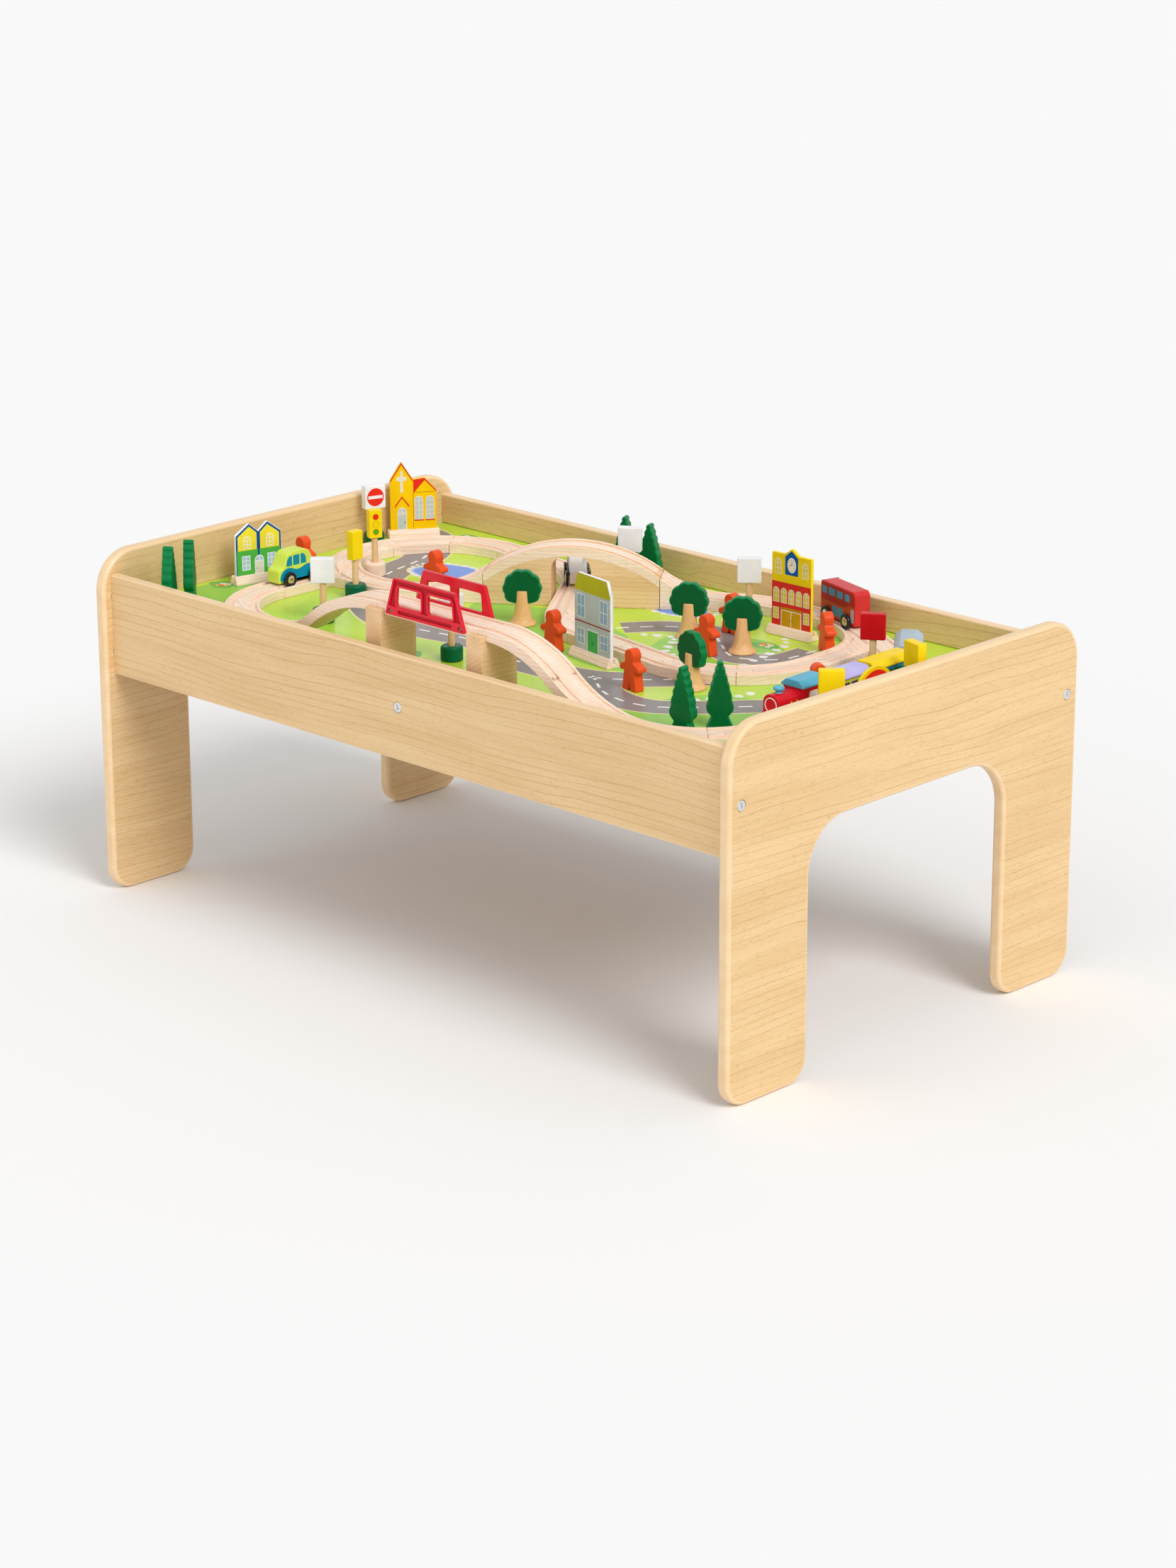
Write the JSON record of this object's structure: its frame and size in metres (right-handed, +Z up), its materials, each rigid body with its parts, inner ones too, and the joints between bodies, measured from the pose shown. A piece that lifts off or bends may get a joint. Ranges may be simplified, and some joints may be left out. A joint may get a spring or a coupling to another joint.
{
  "type": "train table",
  "caption": "Low wooden play table with a tray, carrying a peg-and-socket wooden railway with overpass and arch bridge, a toy train, cars and town pieces.",
  "frame": {"origin": "floor level under the middle of the table", "axes": "+X along the table, +Y towards the back board, +Z up"},
  "size_m": [0.98, 0.562, 0.4565],
  "materials": {
    "beech": "clear satin lacquer",
    "printed_board": "printed, satin",
    "steel": "zinc plated",
    "dowel_wood": "bare",
    "track_wood": "sanded, clear satin lacquer",
    "bridge_wood": "sanded, clear satin lacquer",
    "red_plastic": "moulded",
    "loco_body_paint": "gloss paint",
    "blue_paint": "gloss paint",
    "wheel_plastic": "moulded",
    "first_wagon_body_paint": "gloss paint",
    "first_wagon_roof_paint": "gloss paint",
    "second_wagon_body_paint": "gloss paint",
    "second_wagon_roof_paint": "gloss paint",
    "third_wagon_body_paint": "gloss paint",
    "third_wagon_roof_paint": "gloss paint",
    "car_body_paint": "gloss paint with a blue-green band",
    "patrol_car_body_paint": "gloss paint with a blue band",
    "bus_body_paint": "gloss paint with white windows",
    "church_front_paint": "gloss paint with red trim",
    "twin_house_front_paint": "gloss paint, yellow above and green below",
    "hospital_front_paint": "gloss paint",
    "school_front_paint": "gloss paint, yellow above and red below",
    "shed_front_paint": "gloss paint with a yellow rim",
    "turned_wood": "sanded, clear satin lacquer",
    "green_paint": "gloss paint",
    "orange_paint": "gloss paint",
    "sign_paint": "gloss paint, some heads yellow or red"
  },
  "bodies": {
    "table": {"left_end_panel": "beech", "right_end_panel": "beech", "front_side_board": "beech", "back_side_board": "beech", "play_board": "printed_board", "cross_rail": "beech", "bolts": "steel", "barrel_nuts": "steel", "dowels": "dowel_wood", "loop_switch": "track_wood", "yard_switch": "track_wood", "track_curves": "track_wood", "track_straights": "track_wood", "up_ramp": "track_wood", "down_ramp": "track_wood", "overpass_deck": "track_wood", "overpass_piers": "bridge_wood", "deck_railings": "red_plastic", "railing_screws": "steel", "arch_block": "bridge_wood", "bridge_ramps": "bridge_wood", "loco_body": "loco_body_paint", "loco_roof": "blue_paint", "loco_chimney": "blue_paint", "first_wagon_body": "first_wagon_body_paint", "first_wagon_roof": "first_wagon_roof_paint", "second_wagon_body": "second_wagon_body_paint", "second_wagon_roof": "second_wagon_roof_paint", "church_front": "church_front_paint", "twin_house_front": "twin_house_front_paint", "hospital_front": "hospital_front_paint", "school_front": "school_front_paint", "shed_front": "shed_front_paint", "house_bars": "turned_wood", "cypress_trees": "green_paint", "tree_crowns": "green_paint", "tree_trunks": "turned_wood", "people": "orange_paint", "sign_heads": "sign_paint", "sign_posts": "turned_wood", "sign_bases": "green_paint"},
    "car": {"car_body": "car_body_paint"},
    "patrol_car": {"patrol_car_body": "patrol_car_body_paint"},
    "bus": {"bus_body": "bus_body_paint"},
    "third_wagon": {"third_wagon_body": "third_wagon_body_paint", "third_wagon_roof": "third_wagon_roof_paint"},
    "loco_front_wheels": {"loco_front_wheels": "wheel_plastic"},
    "loco_rear_wheels": {"loco_rear_wheels": "wheel_plastic"},
    "first_wagon_front_wheels": {"first_wagon_front_wheels": "wheel_plastic"},
    "first_wagon_rear_wheels": {"first_wagon_rear_wheels": "wheel_plastic"},
    "second_wagon_front_wheels": {"second_wagon_front_wheels": "wheel_plastic"},
    "second_wagon_rear_wheels": {"second_wagon_rear_wheels": "wheel_plastic"},
    "third_wagon_front_wheels": {"third_wagon_front_wheels": "wheel_plastic"},
    "third_wagon_rear_wheels": {"third_wagon_rear_wheels": "wheel_plastic"},
    "car_front_wheels": {"car_front_wheels": "wheel_plastic"},
    "car_rear_wheels": {"car_rear_wheels": "wheel_plastic"},
    "patrol_car_front_wheels": {"patrol_car_front_wheels": "wheel_plastic"},
    "patrol_car_rear_wheels": {"patrol_car_rear_wheels": "wheel_plastic"},
    "bus_front_wheels": {"bus_front_wheels": "wheel_plastic"},
    "bus_rear_wheels": {"bus_rear_wheels": "wheel_plastic"}
  },
  "joints": [
    {"name": "car_roll", "type": "slide", "parent": "table", "child": "car", "axis": [0, 1, 0], "range_m": [-0.013, 0.013]},
    {"name": "patrol_car_roll", "type": "hinge", "parent": "table", "child": "patrol_car", "pos_m": [-0.21045, 0.07223, 0.3575], "axis": [0, 0, 1], "range_deg": [0, 22]},
    {"name": "bus_roll", "type": "hinge", "parent": "table", "child": "bus", "pos_m": [0.176, 0.124, 0.3575], "axis": [0, 0, 1], "range_deg": [-30, 4]},
    {"name": "third_wagon_roll", "type": "hinge", "parent": "table", "child": "third_wagon", "pos_m": [0.3, 0.05527, 0.3575], "axis": [0, 0, 1], "range_deg": [0, 15]},
    {"name": "loco_front_axle", "type": "hinge", "parent": "table", "child": "loco_front_wheels", "pos_m": [0.408, -0.1156, 0.3638], "axis": [1, 0, 0], "continuous": true},
    {"name": "loco_rear_axle", "type": "hinge", "parent": "table", "child": "loco_rear_wheels", "pos_m": [0.408, -0.0756, 0.3638], "axis": [1, 0, 0], "continuous": true},
    {"name": "first_wagon_front_axle", "type": "hinge", "parent": "table", "child": "first_wagon_front_wheels", "pos_m": [0.408, -0.0356, 0.3638], "axis": [1, 0, 0], "continuous": true},
    {"name": "first_wagon_rear_axle", "type": "hinge", "parent": "table", "child": "first_wagon_rear_wheels", "pos_m": [0.408, -0.0016, 0.3638], "axis": [1, 0, 0], "continuous": true},
    {"name": "second_wagon_front_axle", "type": "hinge", "parent": "table", "child": "second_wagon_front_wheels", "pos_m": [0.408, 0.03439, 0.3638], "axis": [0.9997, 0.0235, 0], "continuous": true},
    {"name": "second_wagon_rear_axle", "type": "hinge", "parent": "table", "child": "second_wagon_rear_wheels", "pos_m": [0.4072, 0.06838, 0.3638], "axis": [0.9997, 0.0235, 0], "continuous": true},
    {"name": "third_wagon_front_axle", "type": "hinge", "parent": "third_wagon", "child": "third_wagon_front_wheels", "pos_m": [0.39427, 0.10798, 0.3638], "axis": [0.7851, 0.6193, 0], "continuous": true},
    {"name": "third_wagon_rear_axle", "type": "hinge", "parent": "third_wagon", "child": "third_wagon_rear_wheels", "pos_m": [0.37322, 0.13467, 0.3638], "axis": [0.7851, 0.6193, 0], "continuous": true},
    {"name": "car_front_axle", "type": "hinge", "parent": "car", "child": "car_front_wheels", "pos_m": [-0.373, -0.09698, 0.3638], "axis": [1, 0, 0], "continuous": true},
    {"name": "car_rear_axle", "type": "hinge", "parent": "car", "child": "car_rear_wheels", "pos_m": [-0.373, -0.05898, 0.3638], "axis": [1, 0, 0], "continuous": true},
    {"name": "patrol_car_front_axle", "type": "hinge", "parent": "patrol_car", "child": "patrol_car_front_wheels", "pos_m": [-0.12433, 0.1374, 0.3638], "axis": [0.6788, 0.7343, 0], "continuous": true},
    {"name": "patrol_car_rear_axle", "type": "hinge", "parent": "patrol_car", "child": "patrol_car_rear_wheels", "pos_m": [-0.15223, 0.1632, 0.3638], "axis": [0.6788, 0.7343, 0], "continuous": true},
    {"name": "bus_front_axle", "type": "hinge", "parent": "bus", "child": "bus_front_wheels", "pos_m": [0.22482, 0.22034, 0.3638], "axis": [0.279, 0.9603, 0], "continuous": true},
    {"name": "bus_rear_axle", "type": "hinge", "parent": "bus", "child": "bus_rear_wheels", "pos_m": [0.1864, 0.2315, 0.3638], "axis": [0.279, 0.9603, 0], "continuous": true}
  ]
}
